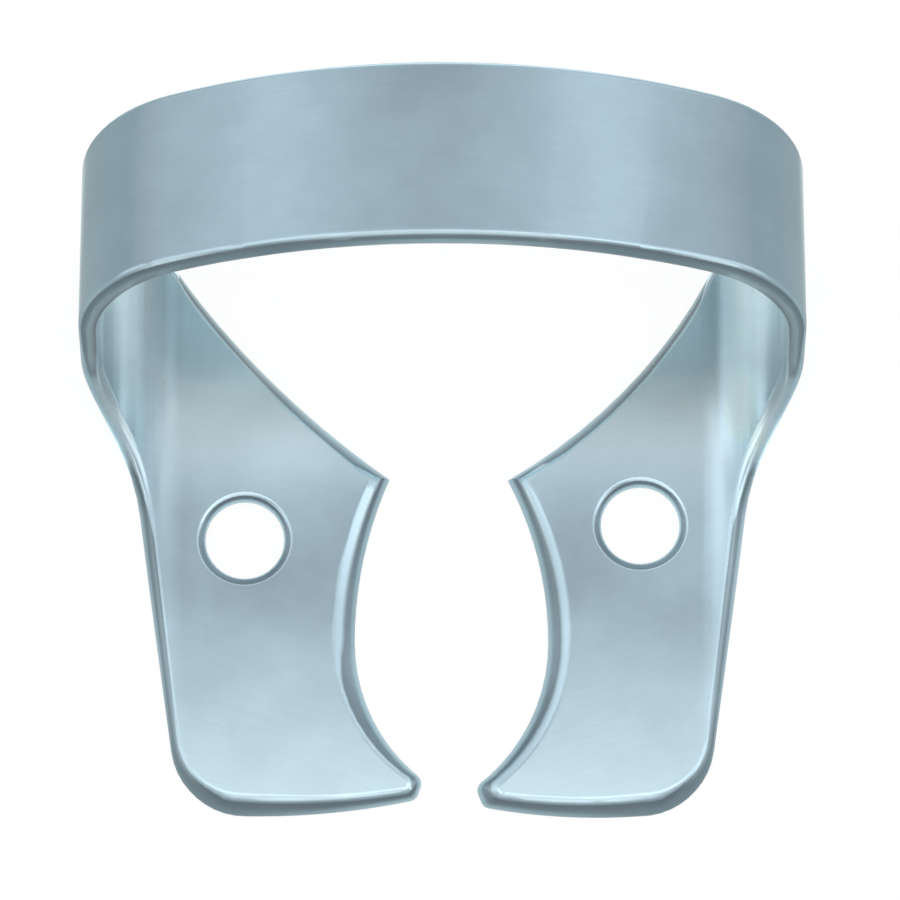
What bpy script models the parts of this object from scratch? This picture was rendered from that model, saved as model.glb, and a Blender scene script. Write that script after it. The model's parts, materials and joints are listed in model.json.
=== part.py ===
"""Rubber dam clamp: one strip of spring steel, blanked flat, ground at the jaws and bent to shape.

Frame: metres, +Z up, front of the jaws towards -Y, jaws lying on Z = 0. The origin is the middle
of the clamp's bounding box, at table height.
"""
import math

import bmesh
import bpy
import numpy as np
from mathutils import Vector

MM = 0.001

# Strip
SHEET = 0.85 * MM
EDGE_ROUND = 0.33 * MM
BAND_WIDTH = 7.0 * MM
BAND_FRONT_SWELL = 0.32 * MM

# Bow, seen along its own axis. Radii are outside ones.
OVERALL_WIDTH = 26.1 * MM
CROWN_RADIUS = 23.1 * MM
CROWN_HALF_ANGLE = math.radians(25)
BOW_LEAN = math.radians(18)

# Bend between leg and jaw
JAW_BEND_RADIUS = 3.9 * MM
LEG_STRAIGHT = 0.1 * MM
JAW_FRONT_TO_BOW = 19.9 * MM

# Jaw outline, measured out from the middle plane and back from the front edge
SIDE_NEAR_FRONT = (9.74 * MM, 2.0 * MM)
SIDE_AT_HOLE = (10.78 * MM, 9.5 * MM)
WAIST_RADIUS = 6.2 * MM
CORNER_RADIUS = 2.7 * MM
FRONT_BULGE = 0.18 * MM
HEEL_RADIUS = 4.0 * MM
FRONT_GRIND = 0.49 * MM
GRIP_GRIND = 0.62 * MM
REAR_TIP_GRIND = 0.45 * MM
TIP_BLUNT = 0.06 * MM
HOLE_RADIUS = 1.43 * MM

# The two jaws differ a little, as on the clamp in the photo
LEFT_JAW = {
    "side": -1,
    "front_end": (0.92 * MM, 0.62 * MM),
    "front_tip": (0.66 * MM, 1.36 * MM),
    "upper_front_end": (1.11 * MM, 0.74 * MM),
    "upper_front_tip": (0.89 * MM, 1.36 * MM),
    "grip_deepest": (3.12 * MM, 6.45 * MM),
    "rear_tip": (1.88 * MM, 12.45 * MM),
    "heel": (9.45 * MM, 19.78 * MM),
    "rear_sag": 0.40 * MM,
    "hole": (7.18 * MM, 10.16 * MM),
}
RIGHT_JAW = {
    "side": 1,
    "front_end": (1.42 * MM, 0.34 * MM),
    "front_tip": (1.12 * MM, 1.12 * MM),
    "upper_front_end": (2.03 * MM, 0.56 * MM),
    "upper_front_tip": (1.60 * MM, 1.07 * MM),
    "grip_deepest": (3.77 * MM, 6.45 * MM),
    "rear_tip": (2.32 * MM, 12.42 * MM),
    "heel": (9.64 * MM, 19.80 * MM),
    "rear_sag": 0.68 * MM,
    "hole": (7.18 * MM, 10.71 * MM),
}

# Fineness
ARC_SEGMENTS = 10
TIP_SEGMENTS = 4
HOLE_SEGMENTS = 40
ROUND_RESOLUTION = 3
CROWN_CUTS = 10
SHOULDER_CUTS = 13
JAW_CUTS = 18
WELD = 0.001 * MM
SNAP = 0.02 * MM

# Worked out from the sizes above. Bends are laid out on the strip's middle surface.
HALF_WIDTH = OVERALL_WIDTH / 2
TIP_RADIUS = EDGE_ROUND + TIP_BLUNT
SHOULDER_RADIUS = ((HALF_WIDTH - CROWN_RADIUS * math.sin(CROWN_HALF_ANGLE))
                   / (1 - math.sin(CROWN_HALF_ANGLE)))
CROWN_MIDDLE = CROWN_RADIUS - SHEET / 2
SHOULDER_MIDDLE = SHOULDER_RADIUS - SHEET / 2
JAW_MIDDLE = JAW_BEND_RADIUS - SHEET / 2
SHOULDER_TURN = math.pi / 2 - CROWN_HALF_ANGLE
CROWN_END = CROWN_MIDDLE * CROWN_HALF_ANGLE
SHOULDER_END = CROWN_END + SHOULDER_MIDDLE * SHOULDER_TURN
SHOULDER_END_HEIGHT = JAW_BEND_RADIUS + LEG_STRAIGHT + BAND_WIDTH / 2 * math.sin(BOW_LEAN)
JAW_FLAT_END = HALF_WIDTH - JAW_BEND_RADIUS
LEG_START = JAW_FLAT_END + JAW_MIDDLE * math.pi / 2
BOW_DIRECTION = np.array((math.cos(BOW_LEAN), math.sin(BOW_LEAN)))


def make_material(name, colour, roughness, metallic):
    material = bpy.data.materials.new(name)
    material.use_nodes = True
    shader = material.node_tree.nodes["Principled BSDF"]
    shader.inputs["Base Color"].default_value = (*colour, 1.0)
    shader.inputs["Roughness"].default_value = roughness
    shader.inputs["Metallic"].default_value = metallic
    return material


def arc(centre, start, turn, segments=ARC_SEGMENTS):
    """Points from start around the centre, both ends included."""
    out = np.subtract(start, centre)
    points = []
    for angle in np.linspace(0, turn, segments + 1):
        cos, sin = math.cos(angle), math.sin(angle)
        points.append(np.add(centre, (out[0] * cos - out[1] * sin, out[0] * sin + out[1] * cos)))
    return points


def bowed(start, end, sag):
    """Points along the arc from start to end that swells to its right by sag."""
    chord = np.subtract(end, start)
    length = np.hypot(*chord)
    left = np.array((-chord[1], chord[0])) / length
    radius = (length ** 2 / 4 + sag ** 2) / (2 * sag)
    centre = np.add(start, end) / 2 + left * (radius - sag)
    return arc(centre, start, 2 * math.asin(length / 2 / radius))


def rounded(before, corner, after, radius, segments=ARC_SEGMENTS):
    """Points of the fillet that takes a path around a corner."""
    back = np.subtract(before, corner) / math.dist(before, corner)
    ahead = np.subtract(after, corner) / math.dist(after, corner)
    half = math.acos(back @ ahead) / 2
    centre = corner + (back + ahead) / np.hypot(*(back + ahead)) * radius / math.sin(half)
    side = ahead[0] * back[1] - ahead[1] * back[0]
    turn = math.copysign(math.pi - 2 * half, side)
    return arc(centre, corner + back * radius / math.tan(half), turn, segments)


def crossing(point_a, direction_a, point_b, direction_b):
    """The point where two lines meet."""
    sides = np.column_stack((direction_a, np.negative(direction_b)))
    return point_a + direction_a * np.linalg.solve(sides, np.subtract(point_b, point_a))[0]


def grip_arc(deepest, tip):
    """Half of the tooth edge: the arc from its deepest place, where it runs straight back, to a tip."""
    across, along = deepest[0] - tip[0], tip[1] - deepest[1]
    radius = (across ** 2 + along ** 2) / (2 * across)
    return arc((deepest[0] - radius, deepest[1]), deepest, math.asin(along / radius))


def bow_edge(offset):
    """Where the shoulder ends on a line along the bow, in the jaw's frame. Minus is the front edge."""
    out = LEG_START + SHOULDER_END_HEIGHT - JAW_BEND_RADIUS - offset * math.sin(BOW_LEAN)
    return np.array((out, JAW_FRONT_TO_BOW + offset * math.cos(BOW_LEAN)))


def jaw_outline(jaw, upper):
    """Edge of one jaw and its leg, from the bow's front edge round to its rear edge.

    Points are (out, back) in the jaw's frame. The upper face is smaller where the jaw is ground.
    """
    ground = 1.0 if upper else 0.0
    front_line = np.array((0.0, FRONT_GRIND * ground))
    deepest = np.add(jaw["grip_deepest"], (GRIP_GRIND * ground, 0.0))
    rear_tip = np.add(jaw["rear_tip"], (REAR_TIP_GRIND * ground, 0.0))
    front_tip = jaw["upper_front_tip" if upper else "front_tip"]
    front_end = jaw["upper_front_end" if upper else "front_end"]
    heel = np.array(jaw["heel"])
    bow_front, bow_rear = bow_edge(-BAND_WIDTH / 2), bow_edge(BAND_WIDTH / 2)
    side = np.subtract(SIDE_AT_HOLE, SIDE_NEAR_FRONT)
    waist = crossing(SIDE_AT_HOLE, side, bow_front, BOW_DIRECTION)
    corner = crossing(SIDE_AT_HOLE, side, front_line, np.array((1.0, 0.0)))

    points = rounded(bow_front, waist, SIDE_AT_HOLE, WAIST_RADIUS)
    points += rounded(SIDE_AT_HOLE, corner, front_line, CORNER_RADIUS)
    front_edge = bowed(points[-1], front_end, -FRONT_BULGE)
    grip = grip_arc(deepest, front_tip)[::-1]
    points += front_edge[1:-1]
    points += rounded(front_edge[-2], front_end, front_tip, TIP_RADIUS, TIP_SEGMENTS)
    points += rounded(front_end, front_tip, grip[1], TIP_RADIUS, TIP_SEGMENTS)
    points += grip[1:]
    points += grip_arc(deepest, rear_tip)[1:]
    rear_edge = bowed(rear_tip, heel, jaw["rear_sag"])
    knee = crossing(heel, heel - rear_edge[-2], bow_rear, BOW_DIRECTION)
    points += rear_edge[1:-1]
    points += rounded(heel, knee, bow_rear, HEEL_RADIUS)
    return np.array(points)


def lay_flat(points, side):
    """Turn (out, back) in a jaw's frame into (along, across) on the flat strip."""
    down = LEG_START - JAW_BEND_RADIUS + SHOULDER_END_HEIGHT - points[:, 0]
    back = points[:, 1] - JAW_FRONT_TO_BOW
    along = SHOULDER_END - back * math.sin(BOW_LEAN) + down * math.cos(BOW_LEAN)
    across = back * math.cos(BOW_LEAN) + down * math.sin(BOW_LEAN)
    return np.column_stack((side * along, across))


def blank_outline(upper=False):
    """Closed outline of the flat strip, with the bow's front edge swelling forward in the middle."""
    right = lay_flat(jaw_outline(RIGHT_JAW, upper), 1)
    left = lay_flat(jaw_outline(LEFT_JAW, upper), -1)
    bow_front = bowed(left[0], right[0], BAND_FRONT_SWELL)
    return np.vstack((right, left[::-1], bow_front[1:-1]))


def hole_outline(jaw):
    centre = np.array(jaw["hole"])
    points = [centre + HOLE_RADIUS * np.array((math.cos(turn), math.sin(turn)))
              for turn in np.linspace(0, 2 * math.pi, HOLE_SEGMENTS, endpoint=False)]
    return lay_flat(np.array(points), jaw["side"])


def make_blank():
    """The flat strip with its two holes and rounded edges, as a mesh. Its upper side faces -Z."""
    curve = bpy.data.curves.new("blank", "CURVE")
    curve.dimensions = "2D"
    curve.fill_mode = "BOTH"
    curve.extrude = SHEET / 2 - EDGE_ROUND
    curve.bevel_depth = EDGE_ROUND
    curve.bevel_resolution = ROUND_RESOLUTION
    curve.offset = -EDGE_ROUND
    for outline in (blank_outline(), hole_outline(LEFT_JAW), hole_outline(RIGHT_JAW)):
        spline = curve.splines.new("POLY")
        spline.points.add(len(outline) - 1)
        spline.points.foreach_set("co", np.pad(outline, ((0, 0), (0, 2))).ravel())
        spline.use_cyclic_u = True
    pattern = bpy.data.objects.new("blank", curve)
    mesh = bpy.data.meshes.new_from_object(pattern)
    bpy.data.objects.remove(pattern)
    bpy.data.curves.remove(curve)
    return mesh


def grind_jaws(blank):
    """Set the upper side's edge back along the tooth edges and fronts of the jaws.

    It goes back faster towards the top, so that the ground face is rounded.
    """
    outline, upper_outline = blank_outline(), blank_outline(upper=True)
    for vert in blank.verts:
        distances = np.hypot(*(outline - vert.co.xy).T)
        nearest = distances.argmin()
        if distances[nearest] > 1.5 * EDGE_ROUND:
            continue
        rise = ((SHEET / 2 - vert.co.z) / SHEET) ** 2
        vert.co.xy += Vector(upper_outline[nearest] - outline[nearest]) * rise


def cut(blank, faces, start, heading):
    """Cut faces along the line through start that is square to the heading, so that they can bend."""
    geometry = list(faces) + list({item for face in faces for item in (*face.verts, *face.edges)})
    bmesh.ops.bisect_plane(blank, geom=geometry, dist=SNAP, plane_co=(*start, 0), plane_no=(*heading, 0))


def jaw_bend_line(side):
    """Start and heading of the bend between a leg and its jaw, on the flat strip."""
    points = np.array(((LEG_START, JAW_FRONT_TO_BOW), (JAW_FLAT_END, JAW_FRONT_TO_BOW)))
    start, end = lay_flat(points, side)
    return start, (end - start) / np.hypot(*(end - start))


def score_bends(blank):
    """Cuts for the crown, the shoulders and the two jaw bends, each kept to its own stretch of strip."""
    for line in (-SHOULDER_END, -CROWN_END, 0, CROWN_END, SHOULDER_END):
        cut(blank, blank.faces, (line, 0), (1, 0))
    for side in (-1, 1):
        jaw_start, jaw_heading = jaw_bend_line(side)
        for inner, outer, start, heading, run, cuts in (
                (0, CROWN_END, (0, 0), (side, 0), CROWN_END, CROWN_CUTS),
                (CROWN_END, SHOULDER_END, (side * CROWN_END, 0), (side, 0),
                 SHOULDER_END - CROWN_END, SHOULDER_CUTS),
                (SHOULDER_END, math.inf, jaw_start, jaw_heading, JAW_MIDDLE * math.pi / 2, JAW_CUTS)):
            for step in range(cuts + 1):
                faces = [face for face in blank.faces
                         if inner < face.calc_center_median().x * side < outer]
                cut(blank, faces, np.add(start, np.multiply(heading, run * step / cuts)), heading)


def press(places, flat, start, heading, radius, turn):
    """Bend what lies beyond a line on the flat strip downwards, round a roller of the given radius."""
    start, heading = np.array((*start, 0.0)), np.array((*heading, 0.0))
    run = np.clip((flat - start) @ heading, 0, radius * turn)
    centre = start - (0, 0, radius)
    arm = places - np.outer(run, heading) - centre
    angle = (run / radius)[:, np.newaxis]
    axis = np.cross((0, 0, 1), heading)
    along_axis = np.outer(arm @ axis, axis)
    return centre + along_axis + (arm - along_axis) * np.cos(angle) + np.cross(axis, arm) * np.sin(angle)


def bend(flat):
    """Places of the strip's points once the jaws, shoulders and crown are bent and the bow leans back."""
    places = flat.copy()
    for side in (-1, 1):
        start, heading = jaw_bend_line(side)
        mine = flat[:, 0] * side > 0
        for line, direction, radius, turn in (
                (start, heading, JAW_MIDDLE, math.pi / 2),
                ((side * CROWN_END, 0), (side, 0), SHOULDER_MIDDLE, SHOULDER_TURN),
                ((0, 0), (side, 0), CROWN_MIDDLE, CROWN_HALF_ANGLE)):
            places[mine] = press(places[mine], flat[mine], line, direction, radius, turn)
    cos, sin = math.cos(BOW_LEAN), math.sin(BOW_LEAN)
    leaning = np.array(((1, 0, 0), (0, cos, sin), (0, -sin, cos)))
    return places @ leaning.T


def make_clamp():
    bm = bmesh.new()
    mesh = make_blank()
    bm.from_mesh(mesh)
    bmesh.ops.remove_doubles(bm, verts=bm.verts, dist=WELD)
    sheet_edges = [edge for edge in bm.edges if edge.calc_face_angle() < math.radians(0.5)]
    bmesh.ops.dissolve_edges(bm, edges=sheet_edges)
    grind_jaws(bm)
    score_bends(bm)
    flat = np.array([vert.co for vert in bm.verts])
    places = bend(flat)
    low, high = places.min(axis=0), places.max(axis=0)
    places -= ((low[0] + high[0]) / 2, (low[1] + high[1]) / 2, low[2])
    for vert, place in zip(bm.verts, places):
        vert.co = place
    bmesh.ops.recalc_face_normals(bm, faces=bm.faces)
    bm.to_mesh(mesh)
    bm.free()
    mesh.name = "clamp"
    mesh.materials.append(make_material("spring_steel", (0.56, 0.65, 0.69), 0.3, 1.0))
    return bpy.data.objects.new("clamp", mesh)


def main():
    for thing in list(bpy.data.objects):
        bpy.data.objects.remove(thing)
    collection = bpy.data.collections.new("rubber_dam_clamp")
    bpy.context.scene.collection.children.link(collection)
    collection.objects.link(make_clamp())


main()
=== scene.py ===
"""Looks of the rubber dam clamp: satin spring steel with a painted highlight and painted shade along
its edges, on a white table.
"""
import json
import math

import bmesh
import bpy
import numpy as np
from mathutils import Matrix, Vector

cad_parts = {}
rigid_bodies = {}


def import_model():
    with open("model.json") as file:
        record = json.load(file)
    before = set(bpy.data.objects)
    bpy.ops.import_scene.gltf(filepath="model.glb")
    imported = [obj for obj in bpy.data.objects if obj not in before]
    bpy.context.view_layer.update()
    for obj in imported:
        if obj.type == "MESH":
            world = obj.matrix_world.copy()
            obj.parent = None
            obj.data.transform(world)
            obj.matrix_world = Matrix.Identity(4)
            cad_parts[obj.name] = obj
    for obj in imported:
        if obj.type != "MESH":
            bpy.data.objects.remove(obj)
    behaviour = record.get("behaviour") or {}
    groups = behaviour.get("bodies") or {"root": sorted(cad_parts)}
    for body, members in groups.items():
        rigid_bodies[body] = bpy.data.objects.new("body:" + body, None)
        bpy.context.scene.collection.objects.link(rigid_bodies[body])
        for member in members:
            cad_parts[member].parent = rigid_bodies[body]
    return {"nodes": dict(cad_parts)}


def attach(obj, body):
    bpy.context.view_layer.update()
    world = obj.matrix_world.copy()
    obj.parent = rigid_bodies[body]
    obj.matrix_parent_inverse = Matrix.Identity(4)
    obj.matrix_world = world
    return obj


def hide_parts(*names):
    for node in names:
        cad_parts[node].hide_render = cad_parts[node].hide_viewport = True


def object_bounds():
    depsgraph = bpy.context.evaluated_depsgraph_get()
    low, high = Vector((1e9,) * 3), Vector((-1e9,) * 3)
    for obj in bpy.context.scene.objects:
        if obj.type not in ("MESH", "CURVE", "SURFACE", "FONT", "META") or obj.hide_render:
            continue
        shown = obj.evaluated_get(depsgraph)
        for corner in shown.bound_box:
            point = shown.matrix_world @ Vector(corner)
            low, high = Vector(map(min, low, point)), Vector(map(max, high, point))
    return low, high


MM = 0.001

# Camera, as for the photo
CAMERA_ELEVATION = math.radians(78)
CAMERA_DISTANCE = 300 * MM
CAMERA_AIM = (0.27 * MM, 0.28 * MM, 3.0 * MM)
CAMERA_LENS = 332.4
CAMERA_SENSOR = 36.0

# Strip and bends, the same as in the part's source
SHEET = 0.85 * MM
OVERALL_WIDTH = 26.1 * MM
CROWN_RADIUS = 23.1 * MM
CROWN_HALF_ANGLE = math.radians(25)
BOW_LEAN = math.radians(18)
JAW_BEND_RADIUS = 3.9 * MM
LEG_STRAIGHT = 0.1 * MM
BAND_WIDTH = 7.0 * MM
JAW_FRONT_TO_BOW = 19.9 * MM
JAW_LINE_SETBACK = 0.02 * MM  # from the box's front to the line that the jaws are measured from
HOLES = ((-7.18 * MM, -2.52 * MM), (7.18 * MM, -1.97 * MM))
HALF_WIDTH = OVERALL_WIDTH / 2
SHOULDER_RADIUS = ((HALF_WIDTH - CROWN_RADIUS * math.sin(CROWN_HALF_ANGLE))
                   / (1 - math.sin(CROWN_HALF_ANGLE)))
CROWN_MIDDLE = CROWN_RADIUS - SHEET / 2
SHOULDER_MIDDLE = SHOULDER_RADIUS - SHEET / 2
JAW_MIDDLE = JAW_BEND_RADIUS - SHEET / 2
CROWN_END = CROWN_MIDDLE * CROWN_HALF_ANGLE
SHOULDER_END = CROWN_END + SHOULDER_MIDDLE * (math.pi / 2 - CROWN_HALF_ANGLE)
SHOULDER_END_HEIGHT = JAW_BEND_RADIUS + LEG_STRAIGHT + BAND_WIDTH / 2 * math.sin(BOW_LEAN)
SHOULDER_CENTRE = ((CROWN_MIDDLE - SHOULDER_MIDDLE) * math.sin(CROWN_HALF_ANGLE),
                   (CROWN_MIDDLE - SHOULDER_MIDDLE) * math.cos(CROWN_HALF_ANGLE) - CROWN_MIDDLE)
JAW_FLAT_END = HALF_WIDTH - JAW_BEND_RADIUS
LEG_START = JAW_FLAT_END + JAW_MIDDLE * math.pi / 2

# Visible mesh
MERGE_DISTANCE = 0.0001 * MM
FLAT_ANGLE = math.radians(0.8)
SMOOTH_ANGLE = math.radians(40)
STRIP_SPAN = 40 * MM  # length of strip that one unit of the map "strip" covers

# Edges: a painted highlight and a painted dark rim along each rounded edge. The higher an edge's
# sharpness, the narrower the painted highlight before its painted dark rim. Each pair says where
# along X, Y or Z a change begins and ends.
EDGE_REACH = 0.77  # share of half the sheet over which an edge turns fully away
HOLE_RIM = 2.2 * MM
HOLE_SHARPNESS = 5.0
HOLE_REAR_SOFTER = 3.2
HOLE_REAR_FADE = 1.2 * MM
SIDE_SHARPER = 2.4
SIDE_OUT = (8.0 * MM, 9.5 * MM)
SIDE_BACK = (-3.5 * MM, -1.5 * MM)
WAIST_SOFTER = 0.80
WAIST_OUT = 9.5 * MM
WAIST_BACK = (-2.6 * MM, 0.4 * MM)
WAIST_UP = (3.0 * MM, 6.4 * MM)
REAR_SHARPNESS = 4
REAR_START = 0.2 * MM
REAR_HEIGHT = SHEET * 1.05
GRIP_OUT = 5.2 * MM
GRIP_FRONT = -11.6 * MM
LEFT_GRIP_SHARPNESS = 0.6
LEFT_GRIP_SHARPER = 1.6
LEFT_GRIP_BACK = (-8.5 * MM, -6.5 * MM)
RIGHT_GRIP_SHARPNESS = 0.8
# A painted highlight line along the legs' edges: how strong, and where
LEG_HIGHLIGHT_LINE = 0.78
LEG_LINE_DEPTH = (-0.37 * MM, -0.11 * MM)
LEG_LINE_RISE = (0.9 * MM, 3.4 * MM)
LEG_LINE_FALL = (7.0 * MM, 9.5 * MM)

# Steel
STEEL = (0.48, 0.624, 0.698)
# Painted highlight (above 1) and painted shade (below 1) along the rounded edges, as shares of the
# steel's colour
PAINTED_EDGE_LIGHT_AND_SHADE = ((0.0, 1.0), (0.03, 1.05), (0.10, 1.18), (0.19, 1.18), (0.35, 0.50), (0.6, 0.57),
              (1.0, 0.68))
STEEL_METALLIC = 0.86
GRAIN_STRETCH = (14.0, 320.0, 1.0)
MOTTLE_SCALE = 420.0
SPECKLE_SCALE = 5000.0
NOISE_MIDDLE = (0.3, 0.7)
GRAIN_TONE = (0.985, 1.015)
MOTTLE_TONE = (0.95, 1.05)
BUMP_HEIGHT = 0.00045 * MM
SPECKLE_SHARE = 0.25

# Painted light and painted shade on the steel, in soft patches: middle and half size in millimetres,
# and how much lighter
PAINTED_LIGHT_PATCHES = (((0, 13.2, 12.5), (4.8, 4.2, 6.0), -0.17),
                ((-4.8, -4.6, 0.85), (5.5, 2.8, 3.0), -0.08),
                ((4.8, -3.4, 0.85), (4.5, 3.6, 3.0), -0.12),
                ((-5.6, 0.6, 0.85), (3.3, 2.2, 3.0), 0.13),
                ((-10.3, -2.6, 0.85), (2.2, 5.6, 3.0), -0.22),
                ((8.6, -2.7, 0.85), (3.4, 2.8, 3.0), 0.15),
                ((8.4, -6.3, 0.85), (3.6, 2.6, 3.0), -0.07),
                ((8.3, 2.9, 0.85), (3.2, 2.6, 3.0), -0.17),
                ((11.2, 1.6, 1.0), (1.8, 2.6, 3.0), 0.50),
                ((-11.5, 1.6, 1.0), (1.7, 2.4, 3.0), 0.30))

# Painted highlight stripes inside the bends, standing in for mirrored light: strength over the
# clamp's width, and where they fade in rearward
BEND_HIGHLIGHT_STRENGTH = 0.62
WIDTH_SPAN = (-13.0 * MM, 13.0 * MM)
BEND_HIGHLIGHT_STRIPES = ((((0.030, 0.0), (0.045, 0.15), (0.055, 0.25), (0.072, 0.5), (0.085, 0.0),
                 (0.110, 0.0), (0.116, 0.35), (0.124, 0.35), (0.130, 0.0)),
                (1.2 * MM, 4.2 * MM)),
               (((0.884, 0.0), (0.893, 1.0), (0.925, 1.0), (0.945, 0.3), (0.958, 0.0)),
                (0.2 * MM, 3.2 * MM)))

# Inside of the bends, tucked under the bow
TUCKED_BACK = (-0.5 * MM, 3.5 * MM)
# A warmer tint painted in the tucked-in places, offsetting the blue of light mirrored back and forth
# under the bow
PAINTED_TUCKED_TINT = (1.07, 0.975, 0.925)
TUCKED_ROUGHNESS = 0.05
BEND_ROUGHNESS = 0.17
BEND_PLACES = ((0.0, 1.0), (0.09, 1.0), (0.122, 0.0), (0.878, 0.0), (0.91, 1.0), (1.0, 1.0))
EDGE_ROUGHNESS = ((0.0, 0.165), (0.1, 0.24), (0.4, 0.26), (0.7, 0.36))
MOTTLE_ROUGHNESS = (-0.02, 0.02)

# Table. What the steel mirrors of it is bright about the clamp and dim ahead of it.
FLOOR_SIZE = 2.0
FLOOR_GAP = 0.01 * MM
FLOOR_GREY = (0.8, 0.8, 0.8, 1)
FLOOR_WHITE = (1.09, 1.09, 1.09, 1)
FLOOR_GLOW = 0.84
FLOOR_TINT = (1.0, 1.12, 1.13)
FLOOR_REACH = (11.5 * MM, 15.5 * MM)
FLOOR_BRIGHT = 1.35
FLOOR_DIM = 0.42

# Softboxes above the clamp: place and size in millimetres, and strength
SOFTBOX_HEIGHT = 40
SOFTBOX_TINT = (1.03, 0.98, 0.925)
SOFTBOXES = (("jaw_softbox", (0, -0.05), (31, 3.1), 0.30),
             ("tip_softbox", (0, -2.7), (31, 2.2), 0.46),
             ("front_softbox", (0, -18.9), (32, 30.2), 0.74),
             ("left_softbox", (-54, -18.9), (40, 30.2), 0.85),
             ("right_softbox", (54, -18.9), (40, 30.2), 0.85),
             ("middle_strip", (0, 9.5), (40, 3.0), 0.62))

# Studio walls, as brightness from left to right. The wall ahead gives way to the others over
# these spans of a direction's Y.
WALL_AHEAD = ((0.0, 0.58), (0.12, 0.68), (0.25, 1.15), (0.45, 1.0), (0.6, 1.3), (0.78, 1.75),
              (0.9, 0.9), (1.0, 0.6))
WALL_LOW = ((0.0, 0.40), (0.3, 0.42), (0.44, 0.45), (0.56, 0.45), (0.7, 0.44), (1.0, 0.40))
WALL_ABOVE = ((0.0, 1.0), (0.12, 1.0), (0.28, 1.05), (0.41, 0.61), (0.5, 0.6), (0.59, 0.61),
              (0.72, 0.82), (0.86, 0.95), (1.0, 1.05))
WALL_BEHIND = ((0.0, 0.50), (0.095, 0.57), (0.17, 0.66), (0.285, 0.87), (0.39, 0.645),
               (0.5, 0.585), (0.61, 0.70), (0.715, 0.96), (0.83, 0.572), (0.905, 0.515),
               (1.0, 0.485))
LOW_FROM = (-0.05, -0.28)
ABOVE_FROM = (-0.02, 0.14)
BEHIND_FROM = (0.3, 0.5)
DAYLIGHT = (0.98, 1.01, 1.04)

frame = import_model()
cad_low, cad_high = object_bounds()


def deselect_all():
    for thing in bpy.context.scene.objects:
        thing.select_set(False)


def make_active(piece):
    deselect_all()
    piece.select_set(True)
    bpy.context.view_layer.objects.active = piece


# Camera

def make_camera():
    camera = bpy.data.objects.new("camera", bpy.data.cameras.new("camera"))
    bpy.context.scene.collection.objects.link(camera)
    back = Vector((0, -math.cos(CAMERA_ELEVATION), math.sin(CAMERA_ELEVATION)))
    camera.location = Vector(CAMERA_AIM) + back * CAMERA_DISTANCE
    camera.rotation_euler = (-back).to_track_quat("-Z", "Y").to_euler()
    camera.data.lens = CAMERA_LENS
    camera.data.sensor_width = CAMERA_SENSOR
    camera.data.clip_start = 0.01
    camera.data.clip_end = 10
    bpy.context.scene.camera = camera


# Node helpers

def add_node(tree, kind, values=None, **settings):
    node = tree.nodes.new(kind)
    for key, value in settings.items():
        setattr(node, key, value)
    for key, value in (values or {}).items():
        if isinstance(value, bpy.types.NodeSocket):
            tree.links.new(value, node.inputs[key])
        else:
            node.inputs[key].default_value = value
    return node


def calculate(tree, operation, *values):
    node = add_node(tree, "ShaderNodeMath", dict(enumerate(values)), operation=operation)
    return node.outputs[0]


def calculate_vector(tree, operation, *values):
    node = add_node(tree, "ShaderNodeVectorMath", dict(enumerate(values)), operation=operation)
    return node.outputs[0]


def scale_vector(tree, vector, factor):
    node = add_node(tree, "ShaderNodeVectorMath", {"Vector": vector, "Scale": factor},
                    operation="SCALE")
    return node.outputs[0]


def length(tree, vector):
    node = add_node(tree, "ShaderNodeVectorMath", {0: vector}, operation="LENGTH")
    return node.outputs["Value"]


def spread(tree, value, span, result=(0.0, 1.0), curve="LINEAR"):
    """Value taken from one span to another, and held at its ends."""
    node = add_node(tree, "ShaderNodeMapRange",
                    {"Value": value, "From Min": span[0], "From Max": span[1],
                     "To Min": result[0], "To Max": result[1]}, interpolation_type=curve)
    return node.outputs[0]


def blend(tree, factor, first, second):
    node = add_node(tree, "ShaderNodeMix", {0: factor, 6: first, 7: second}, data_type="RGBA")
    return node.outputs[2]


def noise(tree, vector, scale, detail, roughness):
    node = add_node(tree, "ShaderNodeTexNoise", {"Vector": vector, "Scale": scale,
                                                 "Detail": detail, "Roughness": roughness})
    return node.outputs["Fac"]


def ramp(tree, factor, stops, colour=(1, 1, 1)):
    """Shares of a colour along a factor from 0 to 1, given as (place, share) pairs."""
    node = add_node(tree, "ShaderNodeValToRGB", {0: factor})
    elements = node.color_ramp.elements
    while len(elements) < len(stops):
        elements.new(0.5)
    for element, (place, share) in zip(elements, stops):
        element.position = place
        element.color = (*(share * value for value in colour), 1)
    return node.outputs["Color"]


# Steel

def rise(values, span):
    """Share of the way through a span, from 0 to 1."""
    start, end = span
    return np.clip((values - start) / (end - start), 0, 1)


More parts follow.
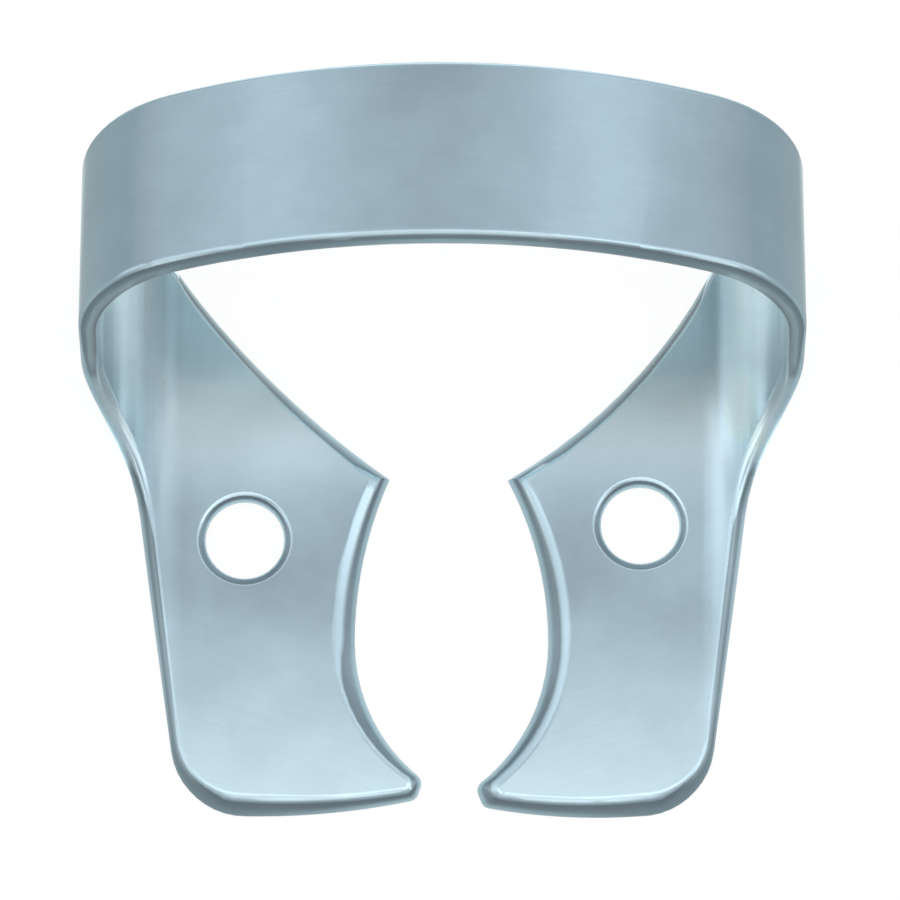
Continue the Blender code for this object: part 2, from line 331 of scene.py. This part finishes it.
def unbend(points):
    """Place of each point on the flat strip: along it, across it, and out from its middle."""
    x, y, z = np.abs(points[:, 0]), points[:, 1], points[:, 2]
    side = np.where(points[:, 0] < 0, -1.0, 1.0)
    cos, sin = math.cos(BOW_LEAN), math.sin(BOW_LEAN)
    centre_x, centre_z = SHOULDER_CENTRE
    behind = y - cad_low.y - JAW_LINE_SETBACK - JAW_FRONT_TO_BOW

    # Bow, in its own upright frame with the crown's middle at the origin
    from_crown_y = behind + centre_z * sin
    from_crown_z = z - SHOULDER_END_HEIGHT + centre_z * cos
    bow_across = cos * from_crown_y - sin * from_crown_z
    height = sin * from_crown_y + cos * from_crown_z
    crown_turn = np.arctan2(x, height + CROWN_MIDDLE)
    shoulder_turn = np.arctan2(x - centre_x, height - centre_z)
    on_crown = crown_turn < CROWN_HALF_ANGLE
    bow_along = np.where(on_crown, CROWN_MIDDLE * crown_turn,
                         CROWN_END + SHOULDER_MIDDLE * (shoulder_turn - CROWN_HALF_ANGLE))
    bow_depth = np.where(on_crown, np.hypot(x, height + CROWN_MIDDLE) - CROWN_MIDDLE,
                         np.hypot(x - centre_x, height - centre_z) - SHOULDER_MIDDLE)

    # Leg, jaw bend and jaw
    on_leg = z > JAW_BEND_RADIUS
    on_flat = x < JAW_FLAT_END
    bend_turn = np.arctan2(x - JAW_FLAT_END, JAW_BEND_RADIUS - z)
    out = np.where(on_flat, x, JAW_FLAT_END + JAW_MIDDLE * bend_turn)
    out = np.where(on_leg, LEG_START + z - JAW_BEND_RADIUS, out)
    jaw_depth = np.where(on_flat, SHEET / 2 - z,
                         np.hypot(x - JAW_FLAT_END, JAW_BEND_RADIUS - z) - JAW_MIDDLE)
    jaw_depth = np.where(on_leg, x - HALF_WIDTH + SHEET / 2, jaw_depth)
    down = LEG_START - JAW_BEND_RADIUS + SHOULDER_END_HEIGHT - out

    on_bow = height > centre_z
    along = np.where(on_bow, bow_along, SHOULDER_END - behind * sin + down * cos)
    across = np.where(on_bow, bow_across, behind * cos + down * sin)
    return side * along, across, np.where(on_bow, bow_depth, jaw_depth)


def turn_of_edges(points, depth):
    """How far each point's edge turns away, from 0 on the flats to 1, sharpened by place; this sets
    the painted edge highlight and painted dark rim.
    """
    x, y, z = points.T
    out = np.abs(x)
    sharpness = np.ones(len(points))
    for centre_x, centre_y in HOLES:
        rear = np.clip((y - centre_y) / HOLE_REAR_FADE, -1, 1)
        sharpness = np.where(np.hypot(x - centre_x, y - centre_y) < HOLE_RIM,
                             HOLE_SHARPNESS - HOLE_REAR_SOFTER * rear, sharpness)
    sharpness += SIDE_SHARPER * rise(out, SIDE_OUT) * (1 - rise(y, SIDE_BACK))
    waist = rise(y, WAIST_BACK) * (out > WAIST_OUT) * (1 - rise(z, WAIST_UP))
    sharpness -= WAIST_SOFTER * waist
    on_rear = (out < WAIST_OUT) & (y > REAR_START) & (z < REAR_HEIGHT)
    sharpness = np.where(on_rear, REAR_SHARPNESS, sharpness)
    on_grip = (out < GRIP_OUT) & (y < REAR_START) & (y > GRIP_FRONT)
    left_grip = LEFT_GRIP_SHARPNESS + LEFT_GRIP_SHARPER * (1 - rise(y, LEFT_GRIP_BACK))
    grip = np.where(x < 0, left_grip, RIGHT_GRIP_SHARPNESS)
    sharpness = np.where(on_grip, grip, sharpness)
    turned = np.clip((1 - np.abs(depth) / (SHEET / 2)) / EDGE_REACH, 0, 1)
    turned = np.clip(turned * sharpness, 0, 1)

    # A painted highlight line along the inner half of the legs' edges
    leg = rise(z, LEG_LINE_RISE) * (1 - rise(z, LEG_LINE_FALL))
    leg *= (depth > LEG_LINE_DEPTH[0]) & (depth < LEG_LINE_DEPTH[1])
    return turned * (1 - LEG_HIGHLIGHT_LINE * leg)


def make_painted_light_patch():
    """A soft round patch of painted light or painted shade, lighter or darker than the steel about
    it.
    """
    group = bpy.data.node_groups.new("painted_light_patch", "ShaderNodeTree")
    for label, kind in (("Place", "NodeSocketVector"), ("Middle", "NodeSocketVector"),
                        ("Shape", "NodeSocketVector"), ("Amount", "NodeSocketFloat")):
        group.interface.new_socket(label, in_out="INPUT", socket_type=kind)
    group.interface.new_socket("Tone", in_out="OUTPUT", socket_type="NodeSocketFloat")
    inputs = group.nodes.new("NodeGroupInput").outputs
    away = calculate_vector(group, "SUBTRACT", inputs["Place"], inputs["Middle"])
    reach = length(group, calculate_vector(group, "DIVIDE", away, inputs["Shape"]))
    fade = spread(group, reach, (1.0, 0.0), curve="SMOOTHSTEP")
    tone = calculate(group, "MULTIPLY_ADD", fade, inputs["Amount"], 1.0)
    result = group.nodes.new("NodeGroupOutput")
    group.links.new(tone, result.inputs["Tone"])
    return group


def make_steel(name):
    material = bpy.data.materials.new(name)
    material.use_nodes = True
    tree = material.node_tree
    shader = tree.nodes["Principled BSDF"]
    shader.inputs["Metallic"].default_value = STEEL_METALLIC
    edge = add_node(tree, "ShaderNodeAttribute", attribute_name="edge").outputs["Fac"]
    inside = add_node(tree, "ShaderNodeAttribute", attribute_name="inside").outputs["Fac"]
    place = add_node(tree, "ShaderNodeTexCoord").outputs["Object"]
    strip = add_node(tree, "ShaderNodeUVMap", uv_map="strip").outputs["UV"]
    axes = add_node(tree, "ShaderNodeSeparateXYZ", {0: place}).outputs
    over = spread(tree, axes["X"], WIDTH_SPAN)

    # Rolling grain along the strip, and cloudy mottling
    lines = calculate_vector(tree, "MULTIPLY", strip, GRAIN_STRETCH)
    grain = noise(tree, lines, 1.0, 4.0, 0.6)
    mottle = noise(tree, place, MOTTLE_SCALE, 3.0, 0.55)
    speckle = noise(tree, place, SPECKLE_SCALE, 2.0, 0.5)
    tone = calculate(tree, "MULTIPLY", spread(tree, grain, NOISE_MIDDLE, GRAIN_TONE),
                     spread(tree, mottle, NOISE_MIDDLE, MOTTLE_TONE))

    # Painted highlights on the inside of the jaw bends, standing in for mirrored light
    bend_highlight = 0.0
    for stripes, fade in BEND_HIGHLIGHT_STRIPES:
        rearward = spread(tree, axes["Y"], fade)
        bend_highlight = calculate(tree, "MULTIPLY_ADD", ramp(tree, over, stripes), rearward, bend_highlight)
    inner_bend_highlight = calculate(tree, "MULTIPLY", bend_highlight, inside)
    bend_highlight_tone = calculate(tree, "MULTIPLY_ADD", inner_bend_highlight, BEND_HIGHLIGHT_STRENGTH, 1.0)
    tone = calculate(tree, "MULTIPLY", tone, bend_highlight_tone)

    # Patches of painted light and painted shade
    patch_group = make_painted_light_patch()
    for middle, shape, amount in PAINTED_LIGHT_PATCHES:
        patch = add_node(tree, "ShaderNodeGroup", node_tree=patch_group)
        tree.links.new(place, patch.inputs["Place"])
        patch.inputs["Middle"].default_value = [MM * value for value in middle]
        patch.inputs["Shape"].default_value = [MM * value for value in shape]
        patch.inputs["Amount"].default_value = amount
        tone = calculate(tree, "MULTIPLY", tone, patch.outputs["Tone"])

    # Painted tint under the bow, offsetting the blue of light mirrored back and forth there
    tucked = calculate(tree, "MULTIPLY", spread(tree, axes["Y"], TUCKED_BACK), inside)
    tint = blend(tree, tucked, (1, 1, 1, 1), (*PAINTED_TUCKED_TINT, 1))
    # The steel's colour with the painted edge highlight and shade, grain, mottling and painted light
    # patches
    toned = scale_vector(tree, ramp(tree, edge, PAINTED_EDGE_LIGHT_AND_SHADE, STEEL), tone)
    colour = calculate_vector(tree, "MULTIPLY", toned, tint)
    tree.links.new(colour, shader.inputs["Base Color"])

    bends = calculate(tree, "MULTIPLY", ramp(tree, over, BEND_PLACES), tucked)
    open_share = calculate(tree, "SUBTRACT", 1.0, tucked)
    rough = calculate(tree, "MULTIPLY_ADD", spread(tree, mottle, NOISE_MIDDLE, MOTTLE_ROUGHNESS),
                      open_share, ramp(tree, edge, EDGE_ROUGHNESS))
    rough = calculate(tree, "MULTIPLY_ADD", bends, BEND_ROUGHNESS, rough)
    rough = calculate(tree, "MULTIPLY_ADD", tucked, TUCKED_ROUGHNESS, rough)
    tree.links.new(rough, shader.inputs["Roughness"])

    height = calculate(tree, "MULTIPLY_ADD", speckle, SPECKLE_SHARE, grain)
    bump = add_node(tree, "ShaderNodeBump", {"Strength": 1.0, "Distance": BUMP_HEIGHT,
                                             "Height": height})
    tree.links.new(bump.outputs[0], shader.inputs["Normal"])
    return material


def make_clamp():
    """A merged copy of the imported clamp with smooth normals, because flat facets show in steel."""
    node = frame["nodes"]["clamp"]
    piece = bpy.data.objects.new("clamp_steel", node.data.copy())
    bpy.context.scene.collection.objects.link(piece)
    bm = bmesh.new()
    bm.from_mesh(piece.data)
    bmesh.ops.remove_doubles(bm, verts=bm.verts, dist=MERGE_DISTANCE)
    bmesh.ops.dissolve_limit(bm, angle_limit=FLAT_ANGLE, verts=bm.verts, edges=bm.edges)
    bm.to_mesh(piece.data)
    bm.free()
    make_active(piece)
    bpy.ops.mesh.customdata_custom_splitnormals_clear()
    bpy.ops.object.shade_smooth_by_angle(angle=SMOOTH_ANGLE)
    normals = piece.modifiers.new("flat faces", "WEIGHTED_NORMAL")
    normals.keep_sharp = True
    normals.weight = 100
    bpy.ops.object.modifier_apply(modifier=normals.name)

    mesh = piece.data
    points = np.array([vert.co for vert in mesh.vertices])
    along, across, depth = unbend(points)
    for label, values in (("edge", turn_of_edges(points, depth)), ("inside", depth < 0)):
        attribute = mesh.attributes.new(label, "FLOAT", "POINT")
        attribute.data.foreach_set("value", values.astype(np.float32))
    corners = np.array([loop.vertex_index for loop in mesh.loops])
    strip = np.column_stack((along, across))[corners] / STRIP_SPAN
    while mesh.uv_layers:
        mesh.uv_layers.remove(mesh.uv_layers[0])
    mesh.uv_layers.new(name="strip").data.foreach_set("uv", strip.ravel())

    mesh.materials.clear()
    mesh.materials.append(make_steel("satin_steel"))
    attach(piece, "root")
    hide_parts("clamp")


# Stage

def make_floor():
    deselect_all()
    bpy.ops.mesh.primitive_plane_add(size=FLOOR_SIZE, location=(0, 0, -FLOOR_GAP))
    floor = bpy.context.object
    floor.name = "floor"
    material = bpy.data.materials.new("white_table")
    material.use_nodes = True
    tree = material.node_tree
    tree.nodes.clear()
    path = add_node(tree, "ShaderNodeLightPath").outputs
    seen = calculate(tree, "MAXIMUM", path["Is Camera Ray"], path["Is Glossy Ray"])
    seen = calculate(tree, "MAXIMUM", seen, path["Is Transmission Ray"])

    # Reach counts to the sides and ahead, not to the rear
    place = add_node(tree, "ShaderNodeTexCoord").outputs["Object"]
    ahead = calculate_vector(tree, "MINIMUM", place, (1.0, 0.0, 1.0))
    level = spread(tree, length(tree, ahead), FLOOR_REACH, (FLOOR_BRIGHT, FLOOR_DIM))
    mirrored = scale_vector(tree, FLOOR_TINT, level)
    tone = blend(tree, path["Is Camera Ray"], mirrored, FLOOR_WHITE)
    glow = add_node(tree, "ShaderNodeEmission", {"Color": tone, "Strength": 1.0})
    diffuse = add_node(tree, "ShaderNodeBsdfDiffuse", {"Color": FLOOR_GREY})
    share = calculate(tree, "MULTIPLY", seen, FLOOR_GLOW)
    mix = add_node(tree, "ShaderNodeMixShader", {0: share, 1: diffuse.outputs[0],
                                                 2: glow.outputs[0]})
    add_node(tree, "ShaderNodeOutputMaterial", {0: mix.outputs[0]})
    floor.data.materials.append(material)


def make_softbox(name, place, size, strength):
    """A lamp that faces down and adds this much light to what the steel mirrors."""
    lamp = bpy.data.lights.new(name, "AREA")
    lamp.shape = "RECTANGLE"
    lamp.size, lamp.size_y = (MM * value for value in size)
    lamp.energy = strength * math.pi * lamp.size * lamp.size_y
    lamp.color = SOFTBOX_TINT
    softbox = bpy.data.objects.new(name, lamp)
    bpy.context.scene.collection.objects.link(softbox)
    softbox.location = [MM * value for value in (*place, SOFTBOX_HEIGHT)]
    softbox.visible_camera = False


def make_world():
    world = bpy.data.worlds.new("studio")
    bpy.context.scene.world = world
    world.use_nodes = True
    tree = world.node_tree
    tree.nodes.clear()
    direction = add_node(tree, "ShaderNodeTexCoord").outputs["Generated"]
    axes = add_node(tree, "ShaderNodeSeparateXYZ", {0: direction}).outputs
    to_right = spread(tree, axes["X"], (-1.0, 1.0))
    wall = ramp(tree, to_right, WALL_AHEAD)
    for stops, span in ((WALL_LOW, LOW_FROM), (WALL_ABOVE, ABOVE_FROM), (WALL_BEHIND, BEHIND_FROM)):
        share = spread(tree, axes["Y"], span, curve="SMOOTHSTEP")
        wall = blend(tree, share, wall, ramp(tree, to_right, stops))
    daylight = calculate_vector(tree, "MULTIPLY", wall, DAYLIGHT)
    studio = add_node(tree, "ShaderNodeBackground", {"Color": daylight, "Strength": 1.0})
    white = add_node(tree, "ShaderNodeBackground", {"Color": (1, 1, 1, 1), "Strength": 1.0})
    path = add_node(tree, "ShaderNodeLightPath").outputs
    mix = add_node(tree, "ShaderNodeMixShader", {0: path["Is Camera Ray"], 1: studio.outputs[0],
                                                 2: white.outputs[0]})
    add_node(tree, "ShaderNodeOutputWorld", {0: mix.outputs[0]})


make_camera()
make_world()
make_floor()
make_clamp()
for softbox in SOFTBOXES:
    make_softbox(*softbox)

bpy.context.scene.view_settings.view_transform = "Standard"
